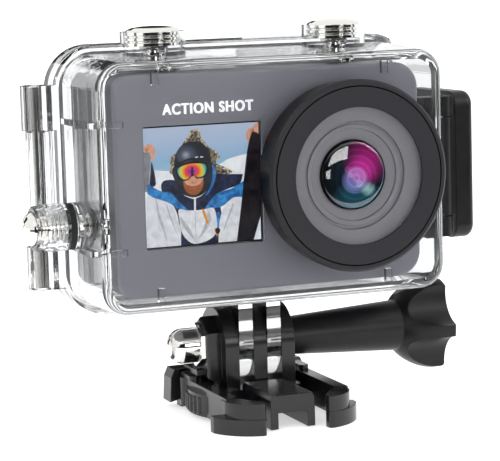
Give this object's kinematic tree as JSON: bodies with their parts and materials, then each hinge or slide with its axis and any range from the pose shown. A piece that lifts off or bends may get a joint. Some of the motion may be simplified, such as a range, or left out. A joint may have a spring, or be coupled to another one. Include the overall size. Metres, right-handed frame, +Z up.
{
  "type": "action camera",
  "caption": "Action camera with front and rear screens in a clear waterproof housing, clamped by a thumb screw in a quick-release buckle.",
  "frame": {"origin": "on the buckle's underside, straight below the clamp screw's axis", "axes": "+X towards the thumb screw's knob, +Y to the back of the camera, +Z up"},
  "size_m": [0.0969, 0.041, 0.0794],
  "materials": {
    "clear_polycarbonate": "clear, polished",
    "grey_panel": "satin grey lacquer",
    "dark_plastic": "fine moulded texture",
    "black_plastic": "moulded, half gloss",
    "ring_plastic": "satin",
    "chrome_plating": "polished",
    "steel": "bright",
    "spring_steel": "bright",
    "clear_silicone": "cast, slightly milky",
    "rubber": "matte",
    "screen_glass": "polished",
    "window_glass": "coated",
    "lens_glass": "multi-coated",
    "display": "lit picture",
    "bezel_grey": "satin",
    "circuit_board": "solder mask",
    "sensor": "glass lid",
    "battery_wrap": "printed wrap",
    "card_plastic": "matte"
  },
  "bodies": {
    "buckle": {"buckle_body": "black_plastic", "acorn_nut": "chrome_plating"},
    "arm_left": {"buckle_arm_left": "black_plastic"},
    "arm_right": {"buckle_arm_right": "black_plastic"},
    "screw": {"thumb_screw_bolt": "steel", "thumb_screw_handle": "black_plastic"},
    "door": {"housing_back_door": "clear_polycarbonate", "door_seal": "clear_silicone"},
    "latch": {"latch_lever": "black_plastic"},
    "power_button": {"power_button": "chrome_plating", "power_button_clip": "spring_steel", "power_button_oring": "rubber"},
    "power_key": {"power_key": "dark_plastic"},
    "shutter_button": {"shutter_button": "chrome_plating", "shutter_button_clip": "spring_steel", "shutter_button_oring": "rubber"},
    "shutter_key": {"shutter_key": "dark_plastic"},
    "side_button": {"side_button": "chrome_plating", "side_button_clip": "spring_steel", "side_button_oring": "rubber"},
    "side_key": {"side_key": "dark_plastic"},
    "housing": {"battery": "battery_wrap", "battery_door": "dark_plastic", "camera_body": "dark_plastic", "camera_front_panel": "grey_panel", "camera_rear_cover": "dark_plastic", "camera_screws": "steel", "card_slot": "steel", "connector_cover": "rubber", "front_display": "display", "front_lens": "lens_glass", "front_screen_glass": "screen_glass", "hinge_pin": "steel", "housing_front_shell": "clear_polycarbonate", "image_sensor": "sensor", "latch_bracket": "black_plastic", "latch_pin": "steel", "lens_barrel": "dark_plastic", "lens_bezel": "bezel_grey", "lens_port_body": "black_plastic", "lens_port_ring": "ring_plastic", "lens_port_seal": "rubber", "lens_port_window": "window_glass", "main_board": "circuit_board", "memory_card": "card_plastic", "microphone": "steel", "power_button_spring": "spring_steel", "rear_display": "display", "rear_lens_group": "lens_glass", "rear_screen_glass": "screen_glass", "sensor_board": "circuit_board", "shutter_button_spring": "spring_steel", "side_bushing_seal": "rubber", "side_button_bushing": "clear_polycarbonate", "side_button_spring": "spring_steel", "speaker": "dark_plastic"}
  },
  "joints": [
    {"name": "housing_tilt", "type": "hinge", "parent": "buckle", "child": "housing", "pos_m": [0, 0, 0.014], "axis": [1, 0, 0], "range_deg": [-55, 40]},
    {"name": "screw_turn", "type": "hinge", "parent": "buckle", "child": "screw", "pos_m": [0, 0, 0.014], "axis": [1, 0, 0], "continuous": true},
    {"name": "door_swing", "type": "hinge", "parent": "housing", "child": "door", "pos_m": [-0.042, 0.0035, 0.0489], "axis": [0, 0, 1], "range_deg": [0, 110]},
    {"name": "latch_swing", "type": "hinge", "parent": "housing", "child": "latch", "pos_m": [0.0414, -0.0075, 0.0481], "axis": [0, 0, -1], "range_deg": [0, 100]},
    {"name": "arm_left_squeeze", "type": "hinge", "parent": "buckle", "child": "arm_left", "pos_m": [-0.0113, 0.0036, 0.003], "axis": [0, 0, 1], "range_deg": [0, 4.5], "stiffness_Nm_per_rad": 2},
    {"name": "arm_right_squeeze", "type": "hinge", "parent": "buckle", "child": "arm_right", "pos_m": [0.0113, 0.0036, 0.003], "axis": [0, 0, -1], "range_deg": [0, 4.5], "stiffness_Nm_per_rad": 2},
    {"name": "power_press", "type": "slide", "parent": "housing", "child": "power_button", "axis": [0, 0, -1], "range_m": [0, 0.0008], "stiffness_N_per_m": 1500, "springref_m": -0.001, "deforming": ["power_button_spring"]},
    {"name": "power_key_press", "type": "slide", "parent": "housing", "child": "power_key", "axis": [0, 0, -1], "range_m": [0, 0.0008], "stiffness_N_per_m": 400},
    {"name": "shutter_press", "type": "slide", "parent": "housing", "child": "shutter_button", "axis": [0, 0, -1], "range_m": [0, 0.0008], "stiffness_N_per_m": 1500, "springref_m": -0.001, "deforming": ["shutter_button_spring"]},
    {"name": "shutter_key_press", "type": "slide", "parent": "housing", "child": "shutter_key", "axis": [0, 0, -1], "range_m": [0, 0.0008], "stiffness_N_per_m": 400},
    {"name": "side_press", "type": "slide", "parent": "housing", "child": "side_button", "axis": [1, 0, 0], "range_m": [0, 0.0008], "stiffness_N_per_m": 1500, "springref_m": -0.001, "deforming": ["side_button_spring"]},
    {"name": "side_key_press", "type": "slide", "parent": "housing", "child": "side_key", "axis": [1, 0, 0], "range_m": [0, 0.0008], "stiffness_N_per_m": 400}
  ],
  "couplings": [
    {"joint": "power_key_press", "follows": "power_press", "ratio": 1},
    {"joint": "shutter_key_press", "follows": "shutter_press", "ratio": 1},
    {"joint": "side_key_press", "follows": "side_press", "ratio": 1}
  ]
}
